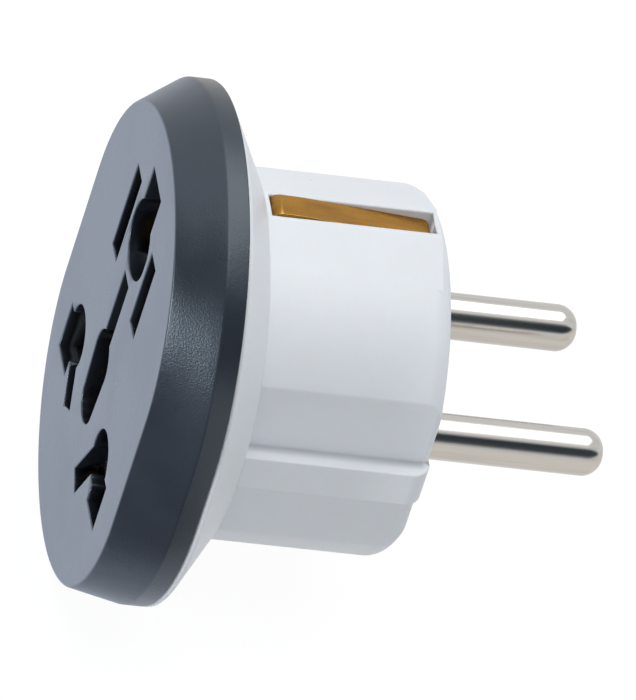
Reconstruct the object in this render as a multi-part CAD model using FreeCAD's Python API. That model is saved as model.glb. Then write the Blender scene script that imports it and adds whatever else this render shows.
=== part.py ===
"""Universal socket to round two-pin earthed plug adapter.

A dark front cover with the socket holes sits on a white rear shell whose round
body carries two pins and two side earth clips. Inside, brass contacts stand on
flat brass links, and an insulating retainer holds them to the front cover.

Millimetres. The origin is the centre of the plug's engagement face. +Y runs out
along the pins, +Z is up and +X is to the right seen from the socket side.
Depths are measured from the flat front face towards the pins.
"""
import FreeCAD, Part
import math
import os

V = FreeCAD.Vector

# Overall sizes
plug_depth = 30.8            # front face to engagement face
body_radius = 18.8           # round plug body
ridge_half_width = 2.0       # top of the low ridge that holds each earth channel
ridge_height = 0.8           # how far the ridge stands above the round body
ridge_foot_x = 8.4           # foot sunk into the round body
ridge_foot_sink = 0.6
ridge_shoulder_x = 7.5       # where the slopes come down to the round body
ridge_shoulder_rise = 0.02
ridge_setback = 1.3          # ridge end short of the engagement face
flat_half_width = 16.2       # side flats of the body
rib_half_height = 2.0        # rib left standing in the middle of each flat
rib_setback = 0.4            # rib face inside the round body's reach
rear_edge_radius = 2.2       # rounding round the engagement face
flat_edge_round = 0.8        # the same at the flats
rib_end_radius = 2.1         # and at the end of each rib
shell_wall = 1.8
end_wall = 3.0
overlap = 0.5                # how far joined shapes run into each other
same_place = 0.01            # tolerance when edges are picked by their place

# Front cover
rim_half_width = 24.2
rim_straight = 6.3           # length of the straight sides
rim_centre_z = 0.45
slope_depth = 4.8            # depth of the sloping edge
slope_side = 4.8             # how far the edge slopes out at the sides
slope_top = 2.3              # and at the top, the bottom being square
cover_depth = 7.0            # depth of the whole cover
cover_wall = 2.2
face_plate = 2.4             # thickness behind the front face
fit_gap = 0.15               # clearance between moulded parts
face_edge_round = 0.35

# Rear shell flange
flange_edge = 0.6            # short straight edge behind the cover
flange_inset_x = 0.1         # flange inside the cover's rim at the sides
flange_inset_top = 1.2       # and at the top, flush below
dish_end = 11.2              # depth where the dish meets the body
dish_end_margin_x = 0.6      # shelf left round the body
dish_end_margin_z = 0.6      # the same past each ridge
funnel_end = 10.2            # the same for the dish's inside
funnel_end_inset_x = 1.8     # wall left between dish and inside
funnel_end_inset_z = 2.2
junction_round = 0.4         # hollow rounding between dish and body
lip_wall = 1.4               # locating lip inside the cover

# Plug pins
pin_spacing = 19.0
pin_radius = 2.4
pin_reach = 19.3             # exposed length
pin_tip_length = 2.1
pin_tip_radius = 1.15
tip_bulge_in = 0.22           # middle of the tip's curve, as shares of its size
tip_bulge_back = 0.42
pin_neck_radius = 1.7
pin_head_radius = 2.8
pin_head = 1.0
pin_clearance = 0.06
pin_root_radius = 2.9        # thicker root that fills the end wall
pin_root_sink = 0.05
boss_radius = 4.0
washer_radius = 3.6
washer_thickness = 0.8

# Sheet brass
sheet = 0.6
link_sheet = 0.8
bend_radius = 0.9
link_corner = 0.7
link_margin = 0.3            # how far a link stands out past its contacts
link_step = 1.2
link_end_gap = 0.1           # earth link's ends short of the trays

# The links' place, which sets the room for an inserted plug's pins
link_setback = 10.2          # links in front of the engagement face
retainer_thickness = 2.2
retainer_gap = 0.35

# Socket holes in the face
round_hole_radius = 3.25
round_hole_x = 9.5
round_hole_z = -8.0
flat_hole_reach = 14.05
flat_hole_top = -7.6
flat_hole_bottom = -13.2
slant_hole_width = 2.6
slant_hole_angle = 60.0
slant_end_line = (3.9, -15.6)
slant_end_neutral = (5.6, -14.2)
slit_x = 6.35
slit_z = 11.3
slit_width = 2.7
slit_height_line = 8.9
slit_height_neutral = 10.5
earth_hole_radius = 4.15
earth_hole_z = 13.2
earth_hole_half_width = 2.6
earth_hole_top = 20.5
centre_slit_top = 7.9
centre_oval_radius = 3.05
centre_oval_z = -2.7
centre_end_radius = 2.5
centre_end_z = -8.1

# Earth clips and their channels
channel_half_width = 1.55
channel_start = 12.0
channel_end_wall = 1.8
channel_depth = 2.2          # channel floor below the round body's reach
tray_wall = 0.8
clip_width = 2.8
clip_end_radius = 0.7
clip_sheet = 0.7
clip_top_front = 0.35        # clip below the ridge's top at its front end
clip_top_rear = 1.1          # and at its rear end
clip_bend_run = 3.0          # level part before the clip starts to dip
stake_length = 0.4           # clip end standing out past the link
stake_gap = 0.03
clip_inner_drop = 0.9        # middle of the run inside the shell, below the tray
clip_side_gap = 0.3

# Screws and rivets
screw_radius = 1.45
screw_head_radius = 2.9
screw_head = 1.9
screw_clearance = 0.1
screw_well_radius = 3.6
screw_well_depth = 3.5
screw_well_wall = 1.6
screw_well_floor = 1.8       # plastic under the closing screw's head
screw_pilot_start = 0.8
screw_pilot_gap = 0.02
screw_end_gap = 0.6
post_radius = 2.2
post_x = 11.6
post_z = 7.0
post_screw_radius = 1.1
post_screw_head_radius = 2.1
post_screw_head = 1.4
post_screw_length = 9.0
rivet_radius = 0.9
rivet_head_radius = 1.5
rivet_head = 0.5
rivet_gap = 0.03
cross_width = 0.7
cross_depth = 0.8
cross_reach = 0.6            # share of the head's radius
head_rounding = 0.45         # share of the head's height
post_screw_gap = 0.03
shank_overlap = 0.175        # shank sunk into its head

# Contacts
socket_contact_width = 4.2
socket_contact_x = 9.5
socket_upper_leg = -5.15
socket_lower_leg = -10.9
socket_flare = -13.65
socket_flare_start = 11.6
socket_flare_end = 8.2
socket_contact_front = 3.6
mouth_flare = 0.5            # how far a spring opens at its mouth
mouth_depth = 2.4
blade_contact_height = 7.0
blade_contact_z = 10.6
blade_leg_gap = 1.9
blade_pinch = 0.45
blade_pinch_depth = 3.0
blade_base_run = 4.0
tongue_length = 3.0
earth_contact_low = 8.6
earth_contact_drop = 1.8     # contact's top below the tray
earth_leg_x = 2.9
earth_contact_setback = 0.4
relief_low = 0.4             # sill left below a long earth pin
relief_high = 0.2
centre_contact_low = -10.6
centre_contact_high = -1.2
partition_x = 4.2
partition_wall = 0.5
partition_low = -12.0
partition_high = 15.2
partition_gap = 1.4          # wall's end in front of the links

# Values that follow from the sizes above
front = -plug_depth
pin_x = pin_spacing / 2
ridge_top = body_radius + ridge_height
rib_reach = body_radius - rib_setback
rim_half_height = rim_half_width + rim_straight / 2
face_half_width = rim_half_width - slope_side
face_half_height = rim_half_height - slope_top / 2
face_centre_z = rim_centre_z - slope_top / 2
dish_end_half_width = body_radius + dish_end_margin_x
dish_end_half_height = ridge_top + dish_end_margin_z
funnel_end_half_width = dish_end_half_width - funnel_end_inset_x
funnel_end_half_height = dish_end_half_height - funnel_end_inset_z
flange_back = cover_depth + flange_edge
flange_half_width = rim_half_width - flange_inset_x
flange_half_height = rim_half_height - flange_inset_top / 2
flange_centre_z = rim_centre_z - flange_inset_top / 2
corner_depth = slope_depth + cover_wall / 2
lip_front = corner_depth + fit_gap
cavity_radius = body_radius - shell_wall
cavity_half_width = flat_half_width - shell_wall
cavity_end = plug_depth - end_wall
retainer_radius = cavity_radius - retainer_gap
retainer_half_width = cavity_half_width - retainer_gap
channel_floor = body_radius - channel_depth
link_depth = plug_depth - link_setback
partition_depth = link_depth - partition_gap
contact_base = link_depth - sheet
retainer_front = link_depth + link_sheet
retainer_back = retainer_front + retainer_thickness
pin_shoulder = retainer_back + washer_thickness
channel_end = plug_depth - channel_end_wall
tray_underside = channel_floor - tray_wall
clip_front_z = ridge_top - clip_top_front
clip_rear_z = ridge_top - clip_top_rear
clip_inner_z = tray_underside - clip_inner_drop
earth_contact_high = tray_underside - earth_contact_drop
well_floor = plug_depth - screw_well_depth
spring_base = link_depth - sheet / 2


def box(x0, x1, d0, d1, z0, z1):
    """Block between two depths."""
    return Part.makeBox(x1 - x0, d1 - d0, z1 - z0, V(x0, front + d0, z0))


def rod(radius, x, z, d0, d1):
    """Round bar along the depth."""
    return Part.makeCylinder(radius, d1 - d0, V(x, front + d0, z), V(0, 1, 0))


def stadium(half_width, half_height, centre_z, depth):
    """Outline with straight sides and half-round ends."""
    y = front + depth
    rise = half_height - half_width
    top, low = centre_z + rise, centre_z - rise
    right_low, right_top = V(half_width, y, low), V(half_width, y, top)
    left_top, left_low = V(-half_width, y, top), V(-half_width, y, low)
    crown, foot = V(0, y, top + half_width), V(0, y, low - half_width)
    return Part.Wire([
        Part.makeLine(right_low, right_top),
        Part.Arc(right_top, crown, left_top).toShape(),
        Part.makeLine(left_top, left_low),
        Part.Arc(left_low, foot, right_low).toShape(),
    ])


def taper(first, second):
    """Solid between two outlines."""
    return Part.makeLoft([first, second], True, True)


def prism(outline, length):
    """Outline pushed along the depth."""
    return Part.Face(outline).extrude(V(0, length, 0))


def plate(corners, d0, d1, radius=0.0):
    """Flat sheet with an outline of (x, z) corners and rounded corners."""
    points = [V(x, front + d0, z) for x, z in corners]
    solid = prism(Part.makePolygon(points + points[:1]), d1 - d0)
    if radius:
        upright = [e for e in solid.Edges if abs(e.tangentAt(e.FirstParameter).y) > 0.99]
        solid = solid.makeFillet(radius, upright)
    return solid


def fuse_all(shapes):
    """One solid from shapes that share volume."""
    return shapes[0].multiFuse(shapes[1:]).removeSplitter()


def edges_at(solid, depth):
    """Edges that lie in the plane at one depth."""
    y = front + depth
    return [e for e in solid.Edges
            if abs(e.BoundBox.YMin - y) < same_place and abs(e.BoundBox.YMax - y) < same_place]


def mirrored(shape):
    """The same piece on the other side of the plug's middle plane."""
    return shape.mirror(V(0, 0, 0), V(1, 0, 0))


def strip_side(points, radius, offset):
    """Edges of one side of a bent strip, and the side's end points."""
    edges = []
    start = None
    count = len(points)
    for index in range(1, count):
        before, here = points[index - 1], points[index]
        along = (here - before).normalize()
        normal = V(-along.y, along.x, 0)
        if start is None:
            start = before + normal * offset
            first = start
        if index == count - 1:
            last = here + normal * offset
            edges.append(Part.makeLine(start, last))
            break
        onward = (points[index + 1] - here).normalize()
        turn = along.getAngle(onward)
        side = 1.0 if along.cross(onward).z > 0 else -1.0
        cut = radius * math.tan(turn / 2)
        into = here - along * cut
        out_of = here + onward * cut
        centre = into + normal * (side * radius)
        side_radius = (into + normal * offset - centre).Length
        arc_in = into + normal * offset
        arc_out = out_of + V(-onward.y, onward.x, 0) * offset
        middle = centre + (here - centre).normalize() * side_radius
        edges.append(Part.makeLine(start, arc_in))
        edges.append(Part.Arc(arc_in, middle, arc_out).toShape())
        start = arc_out
    return edges, first, last


def bent_strip(path, thickness, low, high, upright):
    """Sheet bent along a path of (depth, across) points.

    upright strips bend in the plane of depth and height, and run from low to
    high along X. The others bend in the plane of depth and X, and run along Z.
    """
    points = [V(depth, across, 0) for depth, across in path]
    above, above_start, above_end = strip_side(points, bend_radius, thickness / 2)
    below, below_start, below_end = strip_side(points, bend_radius, -thickness / 2)
    caps = [Part.makeLine(above_end, below_end), Part.makeLine(below_start, above_start)]
    edges = Part.sortEdges(above + below + caps)[0]
    face = Part.Face(Part.Wire(edges))
    solid = face.extrude(V(0, 0, high - low))
    if upright:
        turn = FreeCAD.Matrix(0, 0, 1, low, 1, 0, 0, front, 0, 1, 0, 0, 0, 0, 0, 1)
    else:
        turn = FreeCAD.Matrix(0, 1, 0, 0, 1, 0, 0, front, 0, 0, -1, high, 0, 0, 0, 1)
    return solid.transformed(turn)


def slant_slot(depth, slot_end):
    """Slanted flat-pin slot that runs into the round hole."""
    angle = math.radians(slant_hole_angle)
    along = V(math.cos(angle), 0, math.sin(angle))
    across = V(-along.z, 0, along.x) * (slant_hole_width / 2)
    end = V(slot_end[0], front - 1, slot_end[1])
    length = (round_hole_z - slot_end[1]) / along.z
    far = end + along * length
    corners = [end + across, end - across, far - across, far + across]
    return prism(Part.makePolygon(corners + corners[:1]), depth + 1)


def live_holes(depth, slot_end):
    """Round, flat and slanted openings that share one live contact."""
    return fuse_all([
        rod(round_hole_radius, round_hole_x, round_hole_z, -1, depth),
        box(round_hole_x, flat_hole_reach, -1, depth, flat_hole_bottom, flat_hole_top),
        slant_slot(depth, slot_end),
    ])


def slit(x, height, depth):
    """Upright slit for a flat blade."""
    half = slit_width / 2
    return box(x - half, x + half, -1, depth, slit_z - height / 2, slit_z + height / 2)


def earth_hole(depth):
    """Large round earth hole with its square notch above."""
    return fuse_all([
        rod(earth_hole_radius, 0, earth_hole_z, -1, depth),
        box(-earth_hole_half_width, earth_hole_half_width, -1, depth, earth_hole_z, earth_hole_top),
    ])


def centre_hole(depth):
    """Narrow slit that widens into a long oval."""
    half = slit_width / 2
    corners = [
        (-centre_oval_radius, centre_oval_z), (centre_oval_radius, centre_oval_z),
        (centre_end_radius, centre_end_z), (-centre_end_radius, centre_end_z),
    ]
    return fuse_all([
        rod(centre_oval_radius, 0, centre_oval_z, -1, depth),
        rod(centre_end_radius, 0, centre_end_z, -1, depth),
        plate(corners, -1, depth),
        box(-half, half, -1, depth, centre_oval_z, centre_slit_top),
    ])


def front_cover():
    """Dark moulded cover with a sloping edge, posts and inner walls."""
    face = stadium(face_half_width, face_half_height, face_centre_z, 0)
    ridge = stadium(rim_half_width, rim_half_height, rim_centre_z, slope_depth)
    outside = fuse_all([taper(face, ridge), prism(ridge, cover_depth - slope_depth)])
    outside = outside.makeFillet(face_edge_round, edges_at(outside, 0))

    lean = (rim_half_width - face_half_width) / slope_depth
    front_inset = cover_wall * math.hypot(1, lean) - lean * face_plate
    wall_inset = cover_wall + fit_gap
    inner_face = stadium(face_half_width - front_inset, face_half_height - cover_wall,
                         face_centre_z, face_plate)
    inner_rim = stadium(rim_half_width - wall_inset, rim_half_height - wall_inset,
                        rim_centre_z, corner_depth)
    cavity = fuse_all([taper(inner_face, inner_rim), prism(inner_rim, cover_depth)])
    cover = outside.cut(cavity)

    posts = [rod(post_radius, side * post_x, post_z, face_plate - overlap, retainer_front)
             for side in (-1, 1)]
    walls = [box(min(a, b), max(a, b), face_plate - overlap, partition_depth, partition_low,
                 partition_high)
             for a, b in ((partition_x, partition_x + partition_wall),
                          (-partition_x, -partition_x - partition_wall))]
    cover = fuse_all([cover] + posts + walls)

    holes = [earth_hole(partition_depth + 1), centre_hole(face_plate + 1)]
    holes += [live_holes(face_plate + 1, slant_end_line)]
    holes += [mirrored(live_holes(face_plate + 1, slant_end_neutral))]
    holes += [slit(slit_x, slit_height_line, face_plate + 1)]
    holes += [slit(-slit_x, slit_height_neutral, face_plate + 1)]
    holes += [rod(post_screw_radius, side * post_x, post_z,
                  retainer_front - post_screw_length, retainer_front + 1) for side in (-1, 1)]
    return cover.cut(holes)


def ridge(side):
    """Low ridge whose sides slope down to the round body, with a square rear end."""
    shoulder_z = math.sqrt(body_radius ** 2 - ridge_shoulder_x ** 2) + ridge_shoulder_rise
    foot_z = math.sqrt(body_radius ** 2 - ridge_foot_x ** 2) - ridge_foot_sink
    half = [(ridge_half_width, ridge_top), (ridge_shoulder_x, shoulder_z), (ridge_foot_x, foot_z)]
    corners = [(x, side * z) for x, z in half] + [(-x, side * z) for x, z in reversed(half)]
    return plate(corners, cover_depth, plug_depth - ridge_setback)


def plug_body():
    """Round plug body with a rounded rear edge, its two ridges, side flats and ribs."""
    core = rod(body_radius, 0, 0, cover_depth, plug_depth)
    core = core.makeFillet(rear_edge_radius, edges_at(core, plug_depth))
    slab = box(-flat_half_width, flat_half_width, 0, plug_depth, -ridge_top - 1, ridge_top + 1)
    ends = [e for e in edges_at(slab, plug_depth) if e.BoundBox.XLength < same_place]
    slab = slab.makeFillet(flat_edge_round, ends)
    rib = box(-rib_reach, rib_reach, 0, plug_depth, -rib_half_height, rib_half_height)
    ends = [e for e in edges_at(rib, plug_depth) if e.BoundBox.XLength < same_place]
    rib = rib.makeFillet(rib_end_radius, ends)
    return fuse_all([core, ridge(1), ridge(-1)]).common(fuse_all([slab, rib]))


def dish():
    """Sloping flange that draws in from the rim to the body, with a rounded junction."""
    rim = stadium(flange_half_width, flange_half_height, flange_centre_z, flange_back)
    end = stadium(dish_end_half_width, dish_end_half_height, 0, dish_end)
    return taper(rim, end)


def funnel(inset):
    """Room inside the dish."""
    mouth = stadium(rim_half_width - inset, rim_half_height - inset, rim_centre_z, cover_depth)
    end = stadium(funnel_end_half_width, funnel_end_half_height, 0, funnel_end)
    return taper(mouth, end)


def round_junction(solid):
    """Hollow rounding all along the foot of the body."""
    foot = [e for e in edges_at(solid, dish_end) if inside_dish_end(e)]
    return solid.makeFillet(junction_round, foot)


def inside_dish_end(edge):
    """True for an edge of the body's foot, False for one of the dish's own outline."""
    middle = edge.valueAt((edge.FirstParameter + edge.LastParameter) / 2)
    rise = max(abs(middle.z) - dish_end_half_height + dish_end_half_width, 0)
    return math.hypot(middle.x, rise) < dish_end_half_width - same_place


def rear_shell():
    """White moulded flange and plug body, hollow, with the earth channels."""
    edge = prism(stadium(flange_half_width, flange_half_height, flange_centre_z, cover_depth), flange_edge)
    outside = round_junction(fuse_all([plug_body(), edge, dish()]))

    lip_inset = cover_wall + 2 * fit_gap
    lip = prism(stadium(rim_half_width - lip_inset, rim_half_height - lip_inset,
                        rim_centre_z, lip_front), flange_back - lip_front)
    room_inset = lip_inset + lip_wall
    mouth = prism(stadium(rim_half_width - room_inset, rim_half_height - room_inset,
                          rim_centre_z, lip_front - 1), cover_depth - lip_front + 1)
    room = rod(cavity_radius, 0, 0, cover_depth, cavity_end).common(
        box(-cavity_half_width, cavity_half_width, 0, plug_depth, -body_radius, body_radius))
    shell = fuse_all([outside, lip]).cut(fuse_all([mouth, funnel(room_inset), room]))

    trays, channels, slots = [], [], []
    reach = channel_half_width + tray_wall
    for side in (-1, 1):
        z0, z1 = sorted((side * tray_underside, side * (cavity_radius + overlap)))
        trays.append(box(-reach, reach, channel_start - tray_wall, cavity_end + overlap, z0, z1))
        z0, z1 = sorted((side * channel_floor, side * (ridge_top + overlap)))
        channels.append(box(-channel_half_width, channel_half_width, channel_start, channel_end, z0, z1))
        z0, z1 = sorted((side * (tray_underside - 1), side * (channel_floor + 1)))
        slots.append(box(-channel_half_width, channel_half_width, channel_start,
                         channel_start + clip_sheet + 2 * clip_side_gap, z0, z1))
    tubes = [rod(boss_radius, side * pin_x, 0, pin_shoulder + fit_gap, cavity_end + overlap)
             for side in (-1, 1)]
    collar = rod(screw_well_radius + screw_well_wall, 0, 0, well_floor - screw_well_floor,
                 cavity_end + overlap)
    shell = fuse_all([shell, collar] + trays + tubes)

    cuts = channels + slots
    cuts += [rod(pin_root_radius + pin_clearance, side * pin_x, 0, cover_depth, plug_depth + 1)
             for side in (-1, 1)]
    cuts.append(rod(screw_well_radius, 0, 0, well_floor, plug_depth + 1))
    cuts.append(rod(screw_radius + screw_clearance, 0, 0, cover_depth, plug_depth))
    return shell.cut(cuts)


def plug_pin(side):
    """Solid round pin with a domed tip, a neck and a riveted head."""
    tip = pin_reach
    shoulder = front + pin_shoulder
    head_back = front + link_depth
    head_front = head_back - pin_head
    tip_start = tip - pin_tip_length
    bulge = V(pin_radius - tip_bulge_in * (pin_radius - pin_tip_radius),
              tip - tip_bulge_back * pin_tip_length, 0)
    profile = [V(0, head_front, 0), V(pin_head_radius, head_front, 0), V(pin_head_radius, head_back, 0),
               V(pin_neck_radius, head_back, 0), V(pin_neck_radius, shoulder, 0),
               V(pin_root_radius, shoulder, 0), V(pin_root_radius, -pin_root_sink, 0),
               V(pin_radius, -pin_root_sink, 0), V(pin_radius, tip_start, 0)]
    edges = [Part.makeLine(a, b) for a, b in zip(profile, profile[1:])]
    end = V(pin_tip_radius, tip, 0)
    edges.append(Part.Arc(profile[-1], bulge, end).toShape())
    edges += [Part.makeLine(end, V(0, tip, 0)), Part.makeLine(V(0, tip, 0), profile[0])]
    pin = Part.Face(Part.Wire(edges)).revolve(V(0, 0, 0), V(0, 1, 0), 360)
    pin.translate(V(side * pin_x, 0, 0))
    return pin


def pin_washer(side):
    """Flat ring between the retainer and the pin's shoulder."""
    ring = rod(washer_radius, side * pin_x, 0, retainer_back, pin_shoulder)
    return ring.cut(rod(pin_neck_radius + pin_clearance, side * pin_x, 0, 0, plug_depth))


def rivet(x, z):
    """Low-headed rivet through a contact's base and its link."""
    head = rod(rivet_head_radius, x, z, contact_base - rivet_head, contact_base)
    return fuse_all([head, rod(rivet_radius, x, z, contact_base - rivet_head, retainer_front)])


def rivet_hole(x, z):
    """Hole that a rivet passes with a little clearance."""
    return rod(rivet_radius + rivet_gap, x, z, 0, plug_depth)


def live_link():
    """Flat brass link from the pin to its two contacts, on the +X side."""
    wide_in = pin_x - washer_radius
    wide_out = socket_contact_x + socket_contact_width / 2 + link_margin
    bottom = socket_lower_leg - sheet
    shoulder = washer_radius
    branch_in = slit_x - blade_leg_gap / 2 - sheet - link_margin
    branch_out = slit_x + blade_leg_gap / 2 + sheet + link_margin
    top = blade_contact_z + blade_contact_height / 2 + link_margin
    corners = [(wide_in, bottom), (wide_out, bottom), (wide_out, shoulder), (branch_out, shoulder + link_step),
               (branch_out, top), (branch_in, top), (branch_in, shoulder), (wide_in, shoulder - link_step)]
    link = plate(corners, link_depth, retainer_front, link_corner)
    holes = [rod(pin_neck_radius + pin_clearance, pin_x, 0, 0, plug_depth)]
    holes += [rivet_hole(x, z) for x, z in live_rivet_places()]
    return link.cut(holes)


def live_rivet_places():
    """One rivet under the socket contact, one under the blade contact's tongue."""
    tongue_z = blade_contact_z - blade_contact_height / 2 - tongue_length / 2
    return [(socket_contact_x, (socket_upper_leg + socket_lower_leg) / 2), (slit_x, tongue_z)]


def socket_contact():
    """Long U-shaped spring for round and flat pins, its lower leg flared."""
    low_x = socket_contact_x - socket_contact_width / 2
    path = [(socket_contact_front, socket_upper_leg + mouth_flare),
            (socket_contact_front + mouth_depth, socket_upper_leg), (spring_base, socket_upper_leg),
            (spring_base, socket_lower_leg), (socket_flare_start, socket_lower_leg),
            (socket_flare_end, socket_flare), (socket_contact_front, socket_flare)]
    spring = bent_strip(path, sheet, low_x, low_x + socket_contact_width, True)
    return spring.cut(rivet_hole(*live_rivet_places()[0]))


def blade_contact():
    """Pair of upright leaves that pinch a flat blade, with a riveted tongue."""
    half = blade_leg_gap / 2
    leg = half + sheet / 2
    neck = leg - blade_pinch
    low = blade_contact_z - blade_contact_height / 2
    high = low + blade_contact_height
    pinch = socket_contact_front + blade_pinch_depth
    straight = spring_base - blade_base_run
    path = [(socket_contact_front, slit_x - leg), (pinch, slit_x - neck), (straight, slit_x - leg),
            (spring_base, slit_x - leg), (spring_base, slit_x + leg), (straight, slit_x + leg),
            (pinch, slit_x + neck), (socket_contact_front, slit_x + leg)]
    leaves = bent_strip(path, sheet, low, high, False)
    tongue = box(slit_x - leg, slit_x + leg, contact_base, link_depth, low - tongue_length, low + 1)
    contact = fuse_all([leaves, tongue])
    return contact.cut(rivet_hole(*live_rivet_places()[1]))


def earth_rivet_places():
    """Rivets under the earth contact's tongue and inside the centre contact."""
    return [(0, earth_contact_low - tongue_length / 2), (0, (centre_contact_low + centre_contact_high) / 2)]


def relief(d0, d1):
    """Way through for a long earth pin."""
    return box(-earth_leg_x + sheet, earth_leg_x - sheet, d0, d1,
               earth_contact_low + relief_low, earth_contact_high + relief_high)


def earth_leaves(low, high):
    """Two leaves, one each side of the earth pin, on a shared base."""
    leg = earth_leg_x
    flare = leg + mouth_flare
    mouth = socket_contact_front + earth_contact_setback
    path = [(mouth, -flare), (mouth + mouth_depth, -leg), (spring_base, -leg),
            (spring_base, leg), (mouth + mouth_depth, leg), (mouth, flare)]
    return bent_strip(path, sheet, low, high, False)


def earth_socket_contact():
    """Earth spring behind the large hole, open behind for a long pin."""
    tongue = box(-earth_leg_x, earth_leg_x, contact_base, link_depth,
                 earth_contact_low - tongue_length, earth_contact_low + 1)
    contact = fuse_all([earth_leaves(earth_contact_low, earth_contact_high), tongue])
    return contact.cut(relief(contact_base - 1, link_depth + 1)).cut(rivet_hole(*earth_rivet_places()[0]))


def earth_centre_contact():
    """Earth spring behind the long centre hole."""
    leaves = earth_leaves(centre_contact_low, centre_contact_high)
    return leaves.cut(rivet_hole(*earth_rivet_places()[1]))


def earth_link():
    """Flat brass spine that joins both earth contacts and both clips."""
    half = earth_leg_x + sheet / 2 + link_margin
    end = tray_underside - link_end_gap
    corners = [(-half, -end), (half, -end), (half, end), (-half, end)]
    link = plate(corners, link_depth, retainer_front, link_corner)
    cuts = [relief(0, plug_depth)] + [rivet_hole(x, z) for x, z in earth_rivet_places()]
    cuts += [clip_slot(side, stake_gap) for side in (-1, 1)]
    return link.cut(cuts)


def clip_slot(side, gap):
    """Slot that the end of an earth clip is staked in."""
    half = clip_sheet / 2 + gap
    z0, z1 = sorted((side * (clip_inner_z - half), side * (clip_inner_z + half)))
    return box(-clip_width / 2 - gap, clip_width / 2 + gap, link_depth - 1, retainer_back, z0, z1)


def earth_clip(side):
    """Brass strip in its channel, folded inwards to the earth link."""
    half = clip_sheet / 2
    fold = channel_start + clip_side_gap + half
    rear = channel_end - clip_side_gap
    path = [(rear, side * (clip_rear_z - half)), (fold + clip_bend_run, side * (clip_front_z - half)),
            (fold, side * (clip_front_z - half)), (fold, side * clip_inner_z),
            (retainer_front + stake_length, side * clip_inner_z)]
    clip = bent_strip(path, clip_sheet, -clip_width / 2, clip_width / 2, True)
    inner = clip_width / 2 - clip_end_radius
    square = box(inner, clip_width, rear - clip_end_radius, rear + 1, *sorted((0, side * face_half_height)))
    corner = square.cut(rod_z(clip_end_radius, inner, rear - clip_end_radius, side))
    outer = box(-clip_width, clip_width, 0, plug_depth,
                *sorted((side * tray_underside, side * face_half_height)))
    return clip.cut([corner.common(outer), mirrored(corner).common(outer)])


def rod_z(radius, x, depth, side):
    """Upright round bar that shapes the corners of a clip's end."""
    return Part.makeCylinder(radius, face_half_height, V(x, front + depth, 0), V(0, 0, side))


def contact_retainer():
    """Insulating plate behind the links, with the closing screw's boss."""
    disc = rod(retainer_radius, 0, 0, retainer_front, retainer_back)
    width = box(-retainer_half_width, retainer_half_width, 0, plug_depth, -body_radius, body_radius)
    boss_back = well_floor - screw_well_floor - fit_gap
    boss = rod(screw_well_radius, 0, 0, retainer_front, boss_back)
    plate_body = fuse_all([disc.common(width), boss])
    cuts = [relief(0, plug_depth)]
    cuts += [clip_slot(side, fit_gap) for side in (-1, 1)]
    notch = channel_half_width + tray_wall + fit_gap
    cuts += [box(-notch, notch, 0, plug_depth, *sorted((side * (tray_underside - fit_gap), side * body_radius)))
             for side in (-1, 1)]
    cuts += [rod(pin_neck_radius + pin_clearance, side * pin_x, 0, 0, plug_depth) for side in (-1, 1)]
    cuts += [rod(post_screw_radius + screw_clearance, side * post_x, post_z, 0, plug_depth)
             for side in (-1, 1)]
    cuts.append(rod(screw_radius + screw_pilot_gap, 0, 0, retainer_front + screw_pilot_start, plug_depth))
    return plate_body.cut(cuts)


def screw(x, z, head_depth, radius, head_radius, head, length):
    """Pan-head screw driven from the pin side, with a cross recess."""
    shank = rod(radius, x, z, head_depth - length, head_depth + shank_overlap)
    cap = rod(head_radius, x, z, head_depth, head_depth + head)
    cap = cap.makeFillet(head * head_rounding, edges_at(cap, head_depth + head))
    body = fuse_all([cap, shank])
    top = head_depth + head
    reach = head_radius * cross_reach
    bars = [box(x - reach, x + reach, top - cross_depth, top + 1, z - cross_width / 2, z + cross_width / 2),
            box(x - cross_width / 2, x + cross_width / 2, top - cross_depth, top + 1, z - reach, z + reach)]
    return body.cut(fuse_all(bars))


def closing_screw():
    """Screw in the middle of the engagement face."""
    length = well_floor - retainer_front - screw_pilot_start - screw_end_gap
    return screw(0, 0, well_floor, screw_radius, screw_head_radius, screw_head, length)


def retainer_screws():
    """Two screws that hold the retainer on the cover's posts."""
    length = retainer_thickness + post_screw_length - screw_end_gap
    radius = post_screw_radius - post_screw_gap
    return Part.makeCompound([
        screw(side * post_x, post_z, retainer_back, radius, post_screw_head_radius, post_screw_head, length)
        for side in (-1, 1)])


def build():
    """Every node's name with its shape."""
    live_rivets = Part.makeCompound([rivet(x, z) for x, z in live_rivet_places()])
    return {
        "front_cover": front_cover(),
        "rear_shell": rear_shell(),
        "line_pin": plug_pin(1),
        "neutral_pin": plug_pin(-1),
        "line_pin_washer": pin_washer(1),
        "neutral_pin_washer": pin_washer(-1),
        "line_link": live_link(),
        "neutral_link": mirrored(live_link()),
        "line_socket_contact": socket_contact(),
        "neutral_socket_contact": mirrored(socket_contact()),
        "line_blade_contact": blade_contact(),
        "neutral_blade_contact": mirrored(blade_contact()),
        "line_rivets": live_rivets,
        "neutral_rivets": mirrored(live_rivets),
        "earth_link": earth_link(),
        "earth_socket_contact": earth_socket_contact(),
        "earth_centre_contact": earth_centre_contact(),
        "earth_rivets": Part.makeCompound([rivet(x, z) for x, z in earth_rivet_places()]),
        "upper_earth_clip": earth_clip(1),
        "lower_earth_clip": earth_clip(-1),
        "contact_retainer": contact_retainer(),
        "retainer_screws": retainer_screws(),
        "closing_screw": closing_screw(),
    }


os.makedirs("parts", exist_ok=True)
for name, shape in build().items():
    shape.exportStep("parts/" + name + ".step")
    print(name, "valid", shape.isValid(), "solids", len(shape.Solids), "volume", round(shape.Volume, 1))
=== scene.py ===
"""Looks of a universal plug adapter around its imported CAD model."""

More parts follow.
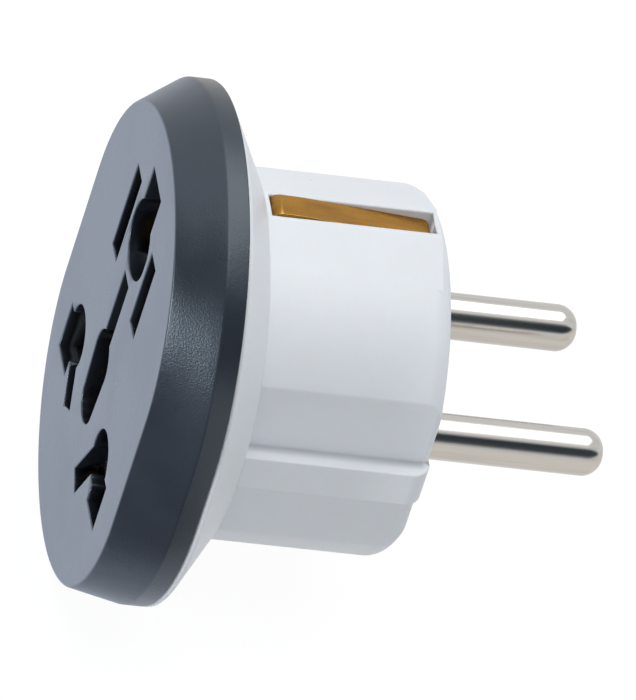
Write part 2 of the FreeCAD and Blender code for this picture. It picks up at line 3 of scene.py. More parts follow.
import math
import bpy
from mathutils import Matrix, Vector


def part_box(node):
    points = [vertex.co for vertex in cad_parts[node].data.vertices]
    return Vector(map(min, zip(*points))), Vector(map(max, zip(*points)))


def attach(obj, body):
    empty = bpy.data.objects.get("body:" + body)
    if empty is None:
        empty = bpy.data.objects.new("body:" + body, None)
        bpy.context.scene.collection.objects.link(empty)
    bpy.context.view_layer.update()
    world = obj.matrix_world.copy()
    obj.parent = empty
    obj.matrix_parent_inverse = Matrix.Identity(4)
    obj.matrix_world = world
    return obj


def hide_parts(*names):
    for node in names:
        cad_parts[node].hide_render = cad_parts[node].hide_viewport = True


bl_info = {
    "name": "Plug Adapter",
    "version": (1, 0, 0),
    "blender": (4, 5, 0),
    "location": "View3D > Sidebar > Adapter",
    "description": "Finishes a universal socket to round two-pin plug adapter",
    "category": "Object",
}

import bmesh
import bpy
from mathutils import Matrix, Vector

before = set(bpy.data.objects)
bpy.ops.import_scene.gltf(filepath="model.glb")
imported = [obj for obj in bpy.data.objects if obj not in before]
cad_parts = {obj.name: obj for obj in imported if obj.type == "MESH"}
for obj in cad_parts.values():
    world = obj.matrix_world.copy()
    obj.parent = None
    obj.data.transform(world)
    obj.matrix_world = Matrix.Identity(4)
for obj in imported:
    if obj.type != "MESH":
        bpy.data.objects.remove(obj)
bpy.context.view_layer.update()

MM = 0.001
BODY = "root"
TAB = "Adapter"
FACE_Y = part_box("front_cover")[0].y
FACE_PLATE = 2.4 * MM            # thickness behind the front face
INNER_FACE_Y = FACE_Y + FACE_PLATE
LOWEST_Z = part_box("front_cover")[0].z

# Which edges of a CAD mesh are rounded
WELD = 0.03 * MM                 # vertices closer than this are joined first
SHARP_ANGLE = math.radians(21)   # an edge that bends more than this is sharp
STRAIGHT_ON = -0.8               # cosine below which a neighbour only carries the edge on
ROOM = 1.3                       # room that a rounding needs, in its own widths
RETREAT = 2                      # edges left sharp before a place without room
BEND_STEPS = 2                   # flat strips across a rounding
LARGE_FACES_LEAD = 100           # strongest pull of the large faces on a normal
REAR_LIFT = 0.25                 # share of a clip's lift at its rear end

# Dust in the moulded grain
DUST_PER_METRE = 420.0
DUST_SIZE = 0.045                # speck radius, as a share of a cell
DUST_RARITY = 0.94               # share of cells without a speck
DUST_ON_DARK = (0.45, 0.46, 0.47, 1)
DUST_ON_WHITE = (0.12, 0.12, 0.13, 1)

RETAINER_PALE = (0.66, 0.63, 0.55, 1)
RETAINER_DEEP = (0.58, 0.55, 0.47, 1)

# Floor: share of glow in its mix, and its tint to the camera and in reflections. The tint in
# reflections is a painted reflection: bluish ahead of the face and dark to the side.
FLOOR_REACH = 4.0
GLOW_SEEN = 0.86
GLOW_MIRRORED = 0.9
FLOOR_SEEN = (1.1, 1.1, 1.1, 1)
FLOOR_AHEAD = (0.84, 0.91, 1.06, 1)
FLOOR_BEHIND = (0.94, 0.93, 0.92, 1)
FLOOR_ASIDE = (0.2, 0.21, 0.28, 1)
ASIDE_SLANT = 0.6
ASIDE_EDGE = (42 * MM, 54 * MM)

# World: white to the camera, with a dark screen in reflections
WHITE = (1, 1, 1, 1)
SKY_MIRRORED = (0.88, 0.91, 0.95, 1)
SCREEN = (0.035, 0.05, 0.065, 1)
SCREEN_BOTTOM = (math.radians(6), math.radians(20))
SCREEN_TOP = (math.radians(50), math.radians(64))
FRONT_TOP = (math.radians(96), math.radians(120))
FRONT_EDGE = (-0.72, -0.58)

# Camera fitted to the photograph: place in mm, and the directions of its picture
CAMERA_PLACE = (1339.804, -477.554, 1114.155)
CAMERA_RIGHT = (0.128535, 0.959877, 0.249229)
CAMERA_UP = (-0.656910, -0.105861, 0.746500)


class CoverLooks(bpy.types.PropertyGroup):
    """Dark front cover"""

    colour: bpy.props.FloatVectorProperty(
        name="Cover colour",
        description="Colour of the dark moulded cover",
        subtype="COLOR", size=4, min=0, max=1, default=(0.015, 0.018, 0.025, 1),
    )
    # The face's colour is lighter than the cover's own colour: painted sheen on the smooth face of
    # the same plastic.
    face_colour_painted_sheen: bpy.props.FloatVectorProperty(
        name="Face colour",
        description="Colour of the smooth front face",
        subtype="COLOR", size=4, min=0, max=1, default=(0.044, 0.051, 0.068, 1),
    )
    face_shine: bpy.props.FloatProperty(
        name="Face shine",
        description="Strength of the polished skin on the front face",
        subtype="FACTOR", min=0, max=1, default=0.34,
    )
    face_roughness: bpy.props.FloatProperty(
        name="Face roughness",
        description="Roughness of the smooth front face",
        subtype="FACTOR", min=0, max=1, default=0.26,
    )
    edge_roughness: bpy.props.FloatProperty(
        name="Sloping edge roughness",
        description="Roughness of the grained sloping edge",
        subtype="FACTOR", min=0, max=1, default=0.27,
    )
    grain: bpy.props.FloatProperty(
        name="Grain size",
        description="Width of one pit of the spark-eroded grain",
        subtype="DISTANCE", unit="LENGTH", default=0.17 * MM,
    )
    grain_depth: bpy.props.FloatProperty(
        name="Grain depth",
        description="Depth of the spark-eroded grain",
        subtype="DISTANCE", unit="LENGTH", default=0.017 * MM,
    )
    edge_round: bpy.props.FloatProperty(
        name="Cover edge rounding",
        description="Rounding along the cover's sharp edges",
        subtype="DISTANCE", unit="LENGTH", default=0.16 * MM,
    )


class ShellLooks(bpy.types.PropertyGroup):
    """White rear shell"""

    colour: bpy.props.FloatVectorProperty(
        name="Shell colour",
        description="Colour of the white moulded shell",
        subtype="COLOR", size=4, min=0, max=1, default=(0.84, 0.86, 0.88, 1),
    )
    roughness: bpy.props.FloatProperty(
        name="Shell roughness",
        description="Roughness of the satin white plastic",
        subtype="FACTOR", min=0, max=1, default=0.36,
    )
    edge_round: bpy.props.FloatProperty(
        name="Shell edge rounding",
        description="Rounding along the shell's sharp edges",
        subtype="DISTANCE", unit="LENGTH", default=0.2 * MM,
    )


class MetalLooks(bpy.types.PropertyGroup):
    """Pins, clips, contacts and screws"""

    plating: bpy.props.FloatVectorProperty(
        name="Pin plating",
        description="Colour of the polished nickel plating",
        subtype="COLOR", size=4, min=0, max=1, default=(0.60, 0.565, 0.52, 1),
    )
    brass: bpy.props.FloatVectorProperty(
        name="Brass",
        description="Colour of the clean sheet brass",
        subtype="COLOR", size=4, min=0, max=1, default=(0.44, 0.22, 0.042, 1),
    )
    tarnish: bpy.props.FloatVectorProperty(
        name="Tarnish",
        description="Colour of the brass where it has darkened",
        subtype="COLOR", size=4, min=0, max=1, default=(0.20, 0.095, 0.022, 1),
    )
    clip_width: bpy.props.FloatProperty(
        name="Clip width",
        description="Width of the earth clips in their channels",
        subtype="DISTANCE", unit="LENGTH", default=3.08 * MM,
    )
    clip_lift: bpy.props.FloatProperty(
        name="Clip lift",
        description="How far the front end of a clip stands out of its channel",
        subtype="DISTANCE", unit="LENGTH", default=0.58 * MM,
    )
    clip_reach: bpy.props.FloatProperty(
        name="Clip reach",
        description="How much further forward the front end of a clip comes",
        subtype="DISTANCE", unit="LENGTH", default=0.42 * MM,
    )
    clip_round: bpy.props.FloatProperty(
        name="Clip edge rounding",
        description="Rounding along the edges of the earth clips",
        subtype="DISTANCE", unit="LENGTH", default=0.1 * MM,
    )
    steel: bpy.props.FloatVectorProperty(
        name="Screw steel",
        description="Colour of the zinc-plated screws",
        subtype="COLOR", size=4, min=0, max=1, default=(0.56, 0.57, 0.58, 1),
    )


class StageLooks(bpy.types.PropertyGroup):
    """Floor, lamps and camera"""

    lamp_power: bpy.props.FloatProperty(
        name="Top lamp power",
        description="Power of the wide lamp above the object",
        subtype="POWER", unit="POWER", default=3.8,
    )
    front_power: bpy.props.FloatProperty(
        name="Front lamp power",
        description="Power of the soft lamp in front of the face",
        subtype="POWER", unit="POWER", default=3.6,
    )
    ambient: bpy.props.FloatVectorProperty(
        name="Ambient light",
        description="Light that comes from all round",
        subtype="COLOR", size=4, min=0, max=1, default=(0.452, 0.474, 0.505, 1),
    )
    floor: bpy.props.FloatVectorProperty(
        name="Floor colour",
        description="Colour of the plain pale floor",
        subtype="COLOR", size=4, min=0, max=1, default=(0.62, 0.62, 0.62, 1),
    )
    lens: bpy.props.FloatProperty(
        name="Lens",
        description="Focal length that gives the photograph's framing",
        subtype="DISTANCE_CAMERA", default=925.7,
    )


def node(tree, kind, inputs=None, **settings):
    """Adds a node, with values for its input sockets by name or number."""
    item = tree.nodes.new(kind)
    for key, value in settings.items():
        setattr(item, key, value)
    for key, value in (inputs or {}).items():
        item.inputs[key].default_value = value
    return item


def math_node(tree, operation, first, second=None):
    """Math node fed by sockets or plain numbers."""
    item = node(tree, "ShaderNodeMath", operation=operation)
    for index, value in enumerate((first, second)):
        if value is None:
            continue
        if isinstance(value, (int, float)):
            item.inputs[index].default_value = value
        else:
            tree.links.new(value, item.inputs[index])
    return item.outputs[0]


def spread(tree, value, low, high, to_low=0.0, to_high=1.0):
    """Smooth change of a value from one range to another."""
    item = node(tree, "ShaderNodeMapRange", {1: low, 2: high, 3: to_low, 4: to_high},
                interpolation_type="SMOOTHSTEP")
    tree.links.new(value, item.inputs[0])
    return item.outputs[0]


def mix_colour(tree, factor, first, second):
    """Colour between two colours or sockets."""
    item = node(tree, "ShaderNodeMix", data_type="RGBA")
    for index, value in ((0, factor), (6, first), (7, second)):
        if hasattr(value, "is_output"):
            tree.links.new(value, item.inputs[index])
        else:
            item.inputs[index].default_value = value
    return item.outputs[2]


def new_group(name, inputs, outputs):
    """Empty shader node group with named sockets."""
    group = bpy.data.node_groups.new(name, "ShaderNodeTree")
    for socket, value in inputs:
        made = group.interface.new_socket(socket, in_out="INPUT", socket_type="NodeSocketFloat")
        made.default_value = value
    for socket, kind in outputs:
        group.interface.new_socket(socket, in_out="OUTPUT", socket_type=kind)
    return group, group.nodes.new("NodeGroupInput"), group.nodes.new("NodeGroupOutput")


def cell_number(tree, cells):
    """Random number of each cell of a Voronoi texture."""
    split = node(tree, "ShaderNodeSeparateColor")
    tree.links.new(cells.outputs["Color"], split.inputs[0])
    return split.outputs[0]


def grain_group():
    """Spark-eroded grain: a height, a clouding mask, and a mask of rare dust specks."""
    group, given, made = new_group(
        "moulded_grain", [("Grains per metre", 3500.0), ("Clouds per metre", 90.0)],
        [("Height", "NodeSocketFloat"), ("Clouds", "NodeSocketFloat"), ("Dust", "NodeSocketFloat")])
    place = node(group, "ShaderNodeTexCoord").outputs["Object"]
    fine = node(group, "ShaderNodeTexNoise", {"Detail": 4.0, "Roughness": 0.65})
    pits = node(group, "ShaderNodeTexVoronoi", {"Randomness": 1.0}, feature="SMOOTH_F1")
    cloud = node(group, "ShaderNodeTexNoise", {"Detail": 5.0, "Roughness": 0.6})
    dust = node(group, "ShaderNodeTexVoronoi", {"Scale": DUST_PER_METRE, "Randomness": 1.0})
    for texture in (fine, pits, cloud, dust):
        group.links.new(place, texture.inputs["Vector"])
    for texture in (fine, pits):
        group.links.new(given.outputs[0], texture.inputs["Scale"])
    group.links.new(given.outputs[1], cloud.inputs["Scale"])
    height = math_node(group, "ADD", fine.outputs["Fac"],
                       math_node(group, "MULTIPLY", pits.outputs["Distance"], 0.5))
    speck = math_node(group, "LESS_THAN", dust.outputs["Distance"], DUST_SIZE)
    rare = math_node(group, "GREATER_THAN", cell_number(group, dust), DUST_RARITY)
    group.links.new(height, made.inputs[0])
    group.links.new(spread(group, cloud.outputs["Fac"], 0.35, 0.68), made.inputs[1])
    group.links.new(math_node(group, "MULTIPLY", speck, rare), made.inputs[2])
    return group


def rubbing_group():
    """Fine marks that run along the pins' direction."""
    group, given, made = new_group(
        "rubbing_marks", [("Marks per metre", 9000.0), ("Stretch", 0.02)],
        [("Height", "NodeSocketFloat"), ("Streaks", "NodeSocketFloat")])
    place = node(group, "ShaderNodeTexCoord").outputs["Object"]
    squeeze = node(group, "ShaderNodeCombineXYZ", {0: 1.0, 2: 1.0})
    group.links.new(given.outputs[1], squeeze.inputs[1])
    drawn = node(group, "ShaderNodeVectorMath", operation="MULTIPLY")
    group.links.new(place, drawn.inputs[0])
    group.links.new(squeeze.outputs[0], drawn.inputs[1])
    marks = node(group, "ShaderNodeTexNoise", {"Detail": 3.0, "Roughness": 0.7})
    wide = node(group, "ShaderNodeTexNoise", {"Detail": 4.0, "Roughness": 0.6})
    for texture in (marks, wide):
        group.links.new(drawn.outputs[0], texture.inputs["Vector"])
    group.links.new(given.outputs[0], marks.inputs["Scale"])
    group.links.new(math_node(group, "MULTIPLY", given.outputs[0], 0.14), wide.inputs["Scale"])
    group.links.new(marks.outputs["Fac"], made.inputs[0])
    group.links.new(spread(group, wide.outputs["Fac"], 0.36, 0.66), made.inputs[1])
    return group


def place_group(tree, name, build, **values):
    """Group node of a shared effect, built the first time it is used."""
    group = bpy.data.node_groups.get(name) or build()
    item = node(tree, "ShaderNodeGroup", node_tree=group)
    for key, value in values.items():
        item.inputs[key.replace("_", " ")].default_value = value
    return item


def start_material(name, **sockets):
    """Material with a Principled shader and plain values on its own sockets."""
    material = bpy.data.materials.new(name)
    material.use_nodes = True
    tree = material.node_tree
    shader = tree.nodes["Principled BSDF"]
    for key, value in sockets.items():
        shader.inputs[key.replace("_", " ")].default_value = value
    return material, tree, shader


def toned(colour, share):
    """The same colour, darker or paler by a share."""
    return tuple(part * share for part in colour[:3]) + (1,)


def bump(tree, shader, height, depth):
    """Bump of a real depth from a height."""
    item = node(tree, "ShaderNodeBump", {"Strength": 1.0, "Distance": depth})
    tree.links.new(height, item.inputs["Height"])
    tree.links.new(item.outputs["Normal"], shader.inputs["Normal"])


def front_mask(tree, depth):
    """1 on the flat front face and 0 from a given depth behind it."""
    place = node(tree, "ShaderNodeTexCoord").outputs["Object"]
    split = node(tree, "ShaderNodeSeparateXYZ")
    tree.links.new(place, split.inputs[0])
    return spread(tree, split.outputs[1], FACE_Y + 0.02 * MM, FACE_Y + depth, 1.0, 0.0)


def cover_plastic(looks):
    """Dark slate plastic, smooth on the face and grained on the sloping edge."""
    material, tree, shader = start_material(
        "cover_plastic_looks", IOR=1.52, Specular_IOR_Level=0.66,
        Specular_Tint=(0.80, 0.92, 1.0, 1.0), Coat_Roughness=0.2, Coat_IOR=1.5)
    grain = place_group(tree, "moulded_grain", grain_group,
                        Grains_per_metre=1.0 / looks.grain, Clouds_per_metre=60.0)
    face = front_mask(tree, 0.12 * MM)
    colour = mix_colour(tree, grain.outputs["Clouds"],
                        toned(looks.colour, 0.8), toned(looks.colour, 1.3))
    # Lighter colour on the front face: painted sheen, the face being the same plastic as the rest of
    # the cover.
    faced = mix_colour(tree, face, colour, looks.face_colour_painted_sheen)
    dusty = mix_colour(tree, math_node(tree, "MULTIPLY", grain.outputs["Dust"], 0.5),
                       faced, DUST_ON_DARK)
    tree.links.new(dusty, shader.inputs["Base Color"])
    tree.links.new(math_node(tree, "MULTIPLY", face, looks.face_shine), shader.inputs["Coat Weight"])
    rough = node(tree, "ShaderNodeMix", {2: looks.edge_roughness, 3: looks.face_roughness})
    tree.links.new(face, rough.inputs[0])
    varied = math_node(tree, "ADD", rough.outputs[0],
                       math_node(tree, "MULTIPLY", grain.outputs["Clouds"], 0.05))
    tree.links.new(varied, shader.inputs["Roughness"])
    depth = math_node(tree, "MULTIPLY", grain.outputs["Height"],
                      spread(tree, face, 0.0, 1.0, 1.0, 0.01))
    bump(tree, shader, depth, looks.grain_depth)
    return material


def shell_plastic(looks):
    """White satin plastic with faint flow clouds and a fine orange peel."""
    material, tree, shader = start_material(
        "shell_plastic_looks", IOR=1.5, Subsurface_Weight=0.12, Subsurface_Scale=0.8 * MM)
    grain = place_group(tree, "moulded_grain", grain_group,
                        Grains_per_metre=1800.0, Clouds_per_metre=55.0)
    colour = mix_colour(tree, grain.outputs["Clouds"], looks.colour, toned(looks.colour, 0.975))
    specked = mix_colour(tree, math_node(tree, "MULTIPLY", grain.outputs["Dust"], 0.6),
                         colour, DUST_ON_WHITE)
    tree.links.new(specked, shader.inputs["Base Color"])
    rough = math_node(tree, "ADD", math_node(tree, "MULTIPLY", grain.outputs["Clouds"], 0.07),
                      looks.roughness)
    tree.links.new(rough, shader.inputs["Roughness"])
    bump(tree, shader, grain.outputs["Height"], 0.006 * MM)
    return material


def pin_plating(looks):
    """Polished nickel with faint marks along the pin."""
    material, tree, shader = start_material("pin_plating_looks", Metallic=1.0)
    marks = place_group(tree, "rubbing_marks", rubbing_group, Marks_per_metre=12000.0, Stretch=0.02)
    colour = mix_colour(tree, marks.outputs["Streaks"], looks.plating, toned(looks.plating, 0.9))
    tree.links.new(colour, shader.inputs["Base Color"])
    tree.links.new(spread(tree, marks.outputs["Streaks"], 0.0, 1.0, 0.15, 0.23),
                   shader.inputs["Roughness"])
    bump(tree, shader, marks.outputs["Height"], 0.0015 * MM)
    return material


def sheet_brass(name, looks, roughness, wear):
    """Rolled brass with streaks along the strip and darker tarnish."""
    material, tree, shader = start_material(name, Metallic=1.0)
    marks = place_group(tree, "rubbing_marks", rubbing_group, Marks_per_metre=5200.0, Stretch=0.06)
    patches = place_group(tree, "moulded_grain", grain_group,
                          Grains_per_metre=2600.0, Clouds_per_metre=240.0)
    mixed = math_node(tree, "MULTIPLY", math_node(
        tree, "ADD", marks.outputs["Streaks"], patches.outputs["Clouds"]), wear)
    tree.links.new(mix_colour(tree, mixed, looks.brass, looks.tarnish), shader.inputs["Base Color"])
    tree.links.new(spread(tree, patches.outputs["Clouds"], 0.0, 1.0, roughness, roughness + 0.14),
                   shader.inputs["Roughness"])
    bump(tree, shader, marks.outputs["Height"], 0.004 * MM)
    return material


def screw_steel(looks):
    """Zinc-plated steel with a faint frosting."""
    material, tree, shader = start_material("screw_steel_looks", Metallic=1.0)
    grain = place_group(tree, "moulded_grain", grain_group,
                        Grains_per_metre=9000.0, Clouds_per_metre=500.0)
    colour = mix_colour(tree, grain.outputs["Clouds"], looks.steel, toned(looks.steel, 0.75))
    tree.links.new(colour, shader.inputs["Base Color"])
    tree.links.new(spread(tree, grain.outputs["Clouds"], 0.0, 1.0, 0.28, 0.42),
                   shader.inputs["Roughness"])
    bump(tree, shader, grain.outputs["Height"], 0.004 * MM)
    return material


def retainer_plastic():
    """Natural moulded plastic of the inner plate."""
    material, tree, shader = start_material("retainer_plastic_looks", IOR=1.5)
    grain = place_group(tree, "moulded_grain", grain_group,
                        Grains_per_metre=2500.0, Clouds_per_metre=80.0)
    colour = mix_colour(tree, grain.outputs["Clouds"], RETAINER_PALE, RETAINER_DEEP)
    tree.links.new(colour, shader.inputs["Base Color"])
    tree.links.new(spread(tree, grain.outputs["Clouds"], 0.0, 1.0, 0.45, 0.6),
                   shader.inputs["Roughness"])
    bump(tree, shader, grain.outputs["Height"], 0.012 * MM)
    return material


def has_room(edge, sharp, width):
    """True where a rounding of this width fits beside both ends of an edge."""
    for vert in edge.verts:
        along = (edge.other_vert(vert).co - vert.co).normalized()
        for other in vert.link_edges:
            if other is edge:
                continue
            way = other.other_vert(vert).co - vert.co
            turn = way.normalized().dot(along)
            if turn < STRAIGHT_ON:
                continue
            across = way.length * math.sqrt(max(0.0, 1 - turn * turn))
            if across < ROOM * width or (other in sharp and way.length < ROOM * width):
                return False
    return True


def stops_short(edge, tight, width):
    """True for a short edge that runs on into an outward edge without room."""
    return edge.calc_length() < 2 * width and any(
        other in tight and other.is_convex
        for vert in edge.verts for other in vert.link_edges)


def edges_to_round(work, width, hidden_y):
    """Sharp outward edges with room for a rounding, outside the plane at hidden_y."""
    sharp = {edge for edge in work.edges if edge.calc_face_angle() > SHARP_ANGLE}
    rounded = {edge for edge in sharp if edge.is_convex and has_room(edge, sharp, width)}
    for _ in range(RETREAT):
        rounded -= {edge for edge in rounded if stops_short(edge, sharp - rounded, width)}
    if hidden_y is None:
        return rounded
    return {edge for edge in rounded
            if any(abs(vert.co.y - hidden_y) > WELD for vert in edge.verts)}


def softened(name, source, width, hidden_y=None):
    """Copy of a CAD node's mesh with its outward edges rounded where there is room.

    Edges in the plane at hidden_y, inside the part, stay as they are.
    """
    mesh = bpy.data.meshes.new(name)
    work = bmesh.new()
    work.from_mesh(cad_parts[source].data)
    bmesh.ops.remove_doubles(work, verts=work.verts, dist=WELD)
    weight = work.edges.layers.float.new("bevel_weight_edge")
    for edge in edges_to_round(work, width, hidden_y):
        edge[weight] = 1.0
    for face in work.faces:
        face.smooth = True
    work.to_mesh(mesh)
    work.free()
    piece = bpy.data.objects.new(name, mesh)
    bpy.context.scene.collection.objects.link(piece)
    rounding = piece.modifiers.new("rounded_edges", "BEVEL")
    rounding.limit_method = "WEIGHT"
    rounding.width = width
    rounding.segments = BEND_STEPS
    rounding.use_clamp_overlap = False
    shading = piece.modifiers.new("flat_faces_stay_flat", "WEIGHTED_NORMAL")
    shading.mode = "FACE_AREA"
    shading.weight = LARGE_FACES_LEAD
    bpy.context.view_layer.update()
    finished = bpy.data.meshes.new_from_object(
        piece.evaluated_get(bpy.context.evaluated_depsgraph_get()))
    piece.modifiers.clear()
    piece.data = finished
    return piece


def sprung_strip(name, source, looks):
    """Earth clip as wide as its channel, sprung outward at the front."""
    piece = softened(name, source, looks.clip_round)
    low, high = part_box(source)
    middle = (low + high) / 2
    outward = math.copysign(1.0, middle.z)
    fuller = looks.clip_width / (high.x - low.x)
    for vert in piece.data.vertices:
        at_front = (high.y - vert.co.y) / (high.y - low.y)
        vert.co.x = middle.x + (vert.co.x - middle.x) * fuller
        vert.co.z += outward * looks.clip_lift * (REAR_LIFT + (1 - REAR_LIFT) * at_front)
        vert.co.y -= looks.clip_reach * at_front
    return piece


def dress(piece, material):
    """One material on a piece and its body."""
    piece.data.materials.clear()
    piece.data.materials.append(material)
    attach(piece, BODY)


def finish_nodes(names, material):
    """Material on CAD nodes whose shape is right."""
    for name in names:
        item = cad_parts[name]
        for slot in item.material_slots:
            slot.link = "OBJECT"
            slot.material = material


class ADAPTER_OT_cover(bpy.types.Operator):
    """Front cover with rounded edges in dark plastic"""

    bl_idname = "adapter.cover"
    bl_label = "Front cover"

    def execute(self, context):
        looks = context.scene.adapter_cover
        piece = softened("cover_moulding", "front_cover", looks.edge_round, INNER_FACE_Y)
        dress(piece, cover_plastic(looks))
        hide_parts("front_cover")
        return {"FINISHED"}


class ADAPTER_OT_shell(bpy.types.Operator):
    """White rear shell with rounded edges"""

    bl_idname = "adapter.shell"
    bl_label = "Rear shell"

    def execute(self, context):
        looks = context.scene.adapter_shell
        piece = softened("shell_moulding", "rear_shell", looks.edge_round)
        dress(piece, shell_plastic(looks))
        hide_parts("rear_shell")
        return {"FINISHED"}


class ADAPTER_OT_pins(bpy.types.Operator):
    """Plated pins and their washers"""

    bl_idname = "adapter.pins"
    bl_label = "Pins"

    def execute(self, context):
        looks = context.scene.adapter_metal
        finish_nodes([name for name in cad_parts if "_pin" in name], pin_plating(looks))
        return {"FINISHED"}


class ADAPTER_OT_clips(bpy.types.Operator):
    """Brass earth clips in the shell's two channels"""

    bl_idname = "adapter.clips"
    bl_label = "Earth clips"

    def execute(self, context):
        looks = context.scene.adapter_metal
        brass = sheet_brass("clip_brass_looks", looks, 0.24, 0.42)
        for source in ("upper_earth_clip", "lower_earth_clip"):
            piece = sprung_strip(source.replace("clip", "spring_strip"), source, looks)
            dress(piece, brass)
            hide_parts(source)
        return {"FINISHED"}


class ADAPTER_OT_contacts(bpy.types.Operator):
    """Spring contacts, links and rivets behind the cover"""

    bl_idname = "adapter.contacts"
    bl_label = "Contacts"

    def execute(self, context):
        looks = context.scene.adapter_metal
        finish_nodes([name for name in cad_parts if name.endswith(("contact", "link", "rivets"))],
                     sheet_brass("contact_brass_looks", looks, 0.3, 0.25))
        return {"FINISHED"}


class ADAPTER_OT_screws(bpy.types.Operator):
    """Closing screw and the retainer's screws"""

    bl_idname = "adapter.screws"
    bl_label = "Screws"

    def execute(self, context):
        finish_nodes(["retainer_screws", "closing_screw"], screw_steel(context.scene.adapter_metal))
        return {"FINISHED"}


class ADAPTER_OT_retainer(bpy.types.Operator):
    """Insulating plate behind the contacts"""

    bl_idname = "adapter.retainer"
    bl_label = "Contact retainer"

    def execute(self, context):
        finish_nodes(["contact_retainer"], retainer_plastic())
        return {"FINISHED"}


def floor_material(looks):
    """Pale floor that looks white to the camera, keeps a soft shadow, and glows with a painted
    reflection tint that only gloss shows.
    """
    material = bpy.data.materials.new("floor_looks")
    material.use_nodes = True
    tree = material.node_tree
    tree.nodes.clear()
    path = node(tree, "ShaderNodeLightPath")
    seen = math_node(tree, "MULTIPLY", path.outputs["Is Camera Ray"], GLOW_SEEN)
    gloss_ray = math_node(tree, "MAXIMUM", path.outputs["Is Glossy Ray"],
                          path.outputs["Is Transmission Ray"])
    mirrored = math_node(tree, "MULTIPLY", gloss_ray, GLOW_MIRRORED)
    share = math_node(tree, "MAXIMUM", seen, mirrored)
    matt = node(tree, "ShaderNodeBsdfDiffuse", {"Color": looks.floor})
    glow = node(tree, "ShaderNodeEmission", {"Strength": 1.0})
    split = node(tree, "ShaderNodeSeparateXYZ")
    tree.links.new(node(tree, "ShaderNodeTexCoord").outputs["Object"], split.inputs[0])
    # Painted reflection: gloss rays see the floor glow bluish ahead of the face and dark to the
    # side, set by position on the floor.
    ahead = spread(tree, split.outputs[1], FACE_Y, 0.0, 1.0, 0.0)
    slant = math_node(tree, "SUBTRACT", split.outputs[0],
                      math_node(tree, "MULTIPLY", split.outputs[1], ASIDE_SLANT))
    aside = spread(tree, slant, *ASIDE_EDGE)
    painted_reflection = mix_colour(tree, aside, FLOOR_AHEAD, FLOOR_ASIDE)
    gloss = mix_colour(tree, ahead, FLOOR_BEHIND, painted_reflection)
    tint = mix_colour(tree, path.outputs["Is Camera Ray"], gloss, FLOOR_SEEN)
    tree.links.new(tint, glow.inputs["Color"])
    mixed = node(tree, "ShaderNodeMixShader")
    tree.links.new(share, mixed.inputs[0])
    tree.links.new(matt.outputs[0], mixed.inputs[1])
    tree.links.new(glow.outputs[0], mixed.inputs[2])
    out = node(tree, "ShaderNodeOutputMaterial")
    tree.links.new(mixed.outputs[0], out.inputs["Surface"])
    return material


def studio_world(looks):
    """White backdrop, plain ambient light, and a dark screen that only gloss shows."""
    world = bpy.data.worlds.new("studio")
    world.use_nodes = True
    tree = world.node_tree
    background = tree.nodes["Background"]
    direction = node(tree, "ShaderNodeTexCoord").outputs["Generated"]
    split = node(tree, "ShaderNodeSeparateXYZ")
    tree.links.new(direction, split.inputs[0])
    lift = math_node(tree, "ARCTAN2", split.outputs[2], split.outputs[0])
    screen = math_node(tree, "MULTIPLY", spread(tree, lift, *SCREEN_BOTTOM),
                       spread(tree, lift, *SCREEN_TOP, 1.0, 0.0))
    front = math_node(tree, "MULTIPLY", spread(tree, split.outputs[1], *FRONT_EDGE, 1.0, 0.0),
                      spread(tree, lift, *FRONT_TOP, 1.0, 0.0))
    dark = math_node(tree, "MAXIMUM", screen, front)
    mirrored = mix_colour(tree, dark, SKY_MIRRORED, SCREEN)
    path = node(tree, "ShaderNodeLightPath")
    gloss_ray = math_node(tree, "MAXIMUM", path.outputs["Is Glossy Ray"],
                          path.outputs["Is Transmission Ray"])
    lit = mix_colour(tree, gloss_ray, looks.ambient, mirrored)
    tree.links.new(mix_colour(tree, path.outputs["Is Camera Ray"], lit, WHITE),
                   background.inputs["Color"])
    bpy.context.scene.world = world


def area_lamp(name, place, target, width, length, power, colour):
    """Rectangular lamp that faces a point."""
    light = bpy.data.lights.new(name, "AREA")
    light.shape = "RECTANGLE"
    light.size, light.size_y = width, length
    light.energy = power
    light.color = colour
    lamp = bpy.data.objects.new(name, light)
    lamp.location = place
    lamp.rotation_euler = (Vector(target) - Vector(place)).to_track_quat("-Z", "Y").to_euler()
    bpy.context.scene.collection.objects.link(lamp)
    return lamp


def photo_camera(lens):
    """Camera at the photograph's viewing angle."""
    view = bpy.data.cameras.new("photo_camera")
    view.lens = lens
    view.sensor_width = 36.0
    view.clip_start, view.clip_end = 0.05, 20.0
    right, up = Vector(CAMERA_RIGHT), Vector(CAMERA_UP)
    back = right.cross(up)
    camera = bpy.data.objects.new("photo_camera", view)
    turn = Matrix((right, up, back)).transposed().to_4x4()
    camera.matrix_world = Matrix.Translation(Vector(CAMERA_PLACE) * MM) @ turn
    bpy.context.scene.collection.objects.link(camera)
    bpy.context.scene.camera = camera


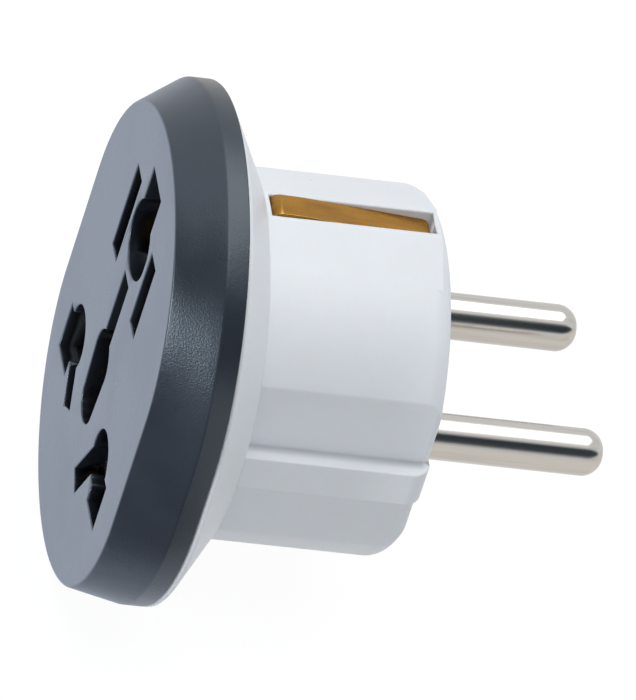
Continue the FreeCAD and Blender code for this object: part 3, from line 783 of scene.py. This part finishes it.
class ADAPTER_OT_stage(bpy.types.Operator):
    """Floor, studio light and camera"""

    bl_idname = "adapter.stage"
    bl_label = "Stage"

    def execute(self, context):
        looks = context.scene.adapter_stage
        mesh = bpy.data.meshes.new("floor")
        corners = [(x * FLOOR_REACH, y * FLOOR_REACH, LOWEST_Z)
                   for x, y in ((-1, -1), (1, -1), (1, 1), (-1, 1))]
        mesh.from_pydata(corners, [], [(0, 1, 2, 3)])
        floor = bpy.data.objects.new("floor", mesh)
        bpy.context.scene.collection.objects.link(floor)
        floor.data.materials.append(floor_material(looks))
        studio_world(looks)
        area_lamp("top_lamp", place=(-0.06, 0.05, 0.80), target=(0, 0, 0), width=0.62, length=0.95,
                  power=looks.lamp_power, colour=(1, 1, 1))
        front = area_lamp("front_lamp", place=(0.18, -0.70, 0.085), target=(0.02, -0.028, 0.01),
                          width=0.17, length=0.17, power=looks.front_power, colour=(0.88, 0.95, 1))
        front.data.diffuse_factor = 0.15
        photo_camera(looks.lens)
        context.scene.view_settings.view_transform = "Standard"
        return {"FINISHED"}


class ADAPTER_PT_panel(bpy.types.Panel):
    """Sizes, colours and build steps of the adapter"""

    bl_label = "Plug adapter"
    bl_idname = "ADAPTER_PT_panel"
    bl_space_type = "VIEW_3D"
    bl_region_type = "UI"
    bl_category = TAB

    def draw(self, context):
        for name, step in STEPS:
            box = self.layout.box()
            looks = getattr(context.scene, name, None) if name else None
            for key in (looks.__annotations__ if looks else ()):
                box.prop(looks, key)
            box.operator(step.bl_idname)


LOOKS = (
    ("adapter_cover", CoverLooks),
    ("adapter_shell", ShellLooks),
    ("adapter_metal", MetalLooks),
    ("adapter_stage", StageLooks),
)
STEPS = (
    ("adapter_cover", ADAPTER_OT_cover),
    ("adapter_shell", ADAPTER_OT_shell),
    ("adapter_metal", ADAPTER_OT_pins),
    ("", ADAPTER_OT_clips),
    ("", ADAPTER_OT_contacts),
    ("", ADAPTER_OT_screws),
    ("", ADAPTER_OT_retainer),
    ("adapter_stage", ADAPTER_OT_stage),
)


def register():
    """Adds the looks, the build steps and the panel to Blender."""
    for name, group in LOOKS:
        bpy.utils.register_class(group)
        setattr(bpy.types.Scene, name, bpy.props.PointerProperty(type=group))
    for _, step in STEPS:
        bpy.utils.register_class(step)
    bpy.utils.register_class(ADAPTER_PT_panel)


def unregister():
    """Takes them out again."""
    bpy.utils.unregister_class(ADAPTER_PT_panel)
    for _, step in reversed(STEPS):
        bpy.utils.unregister_class(step)
    for name, group in reversed(LOOKS):
        delattr(bpy.types.Scene, name)
        bpy.utils.unregister_class(group)


def main():
    """Builds every piece and the stage."""
    register()
    for _, step in STEPS:
        area, name = step.bl_idname.split(".")
        getattr(getattr(bpy.ops, area), name)()


if __name__ == "__main__":
    main()
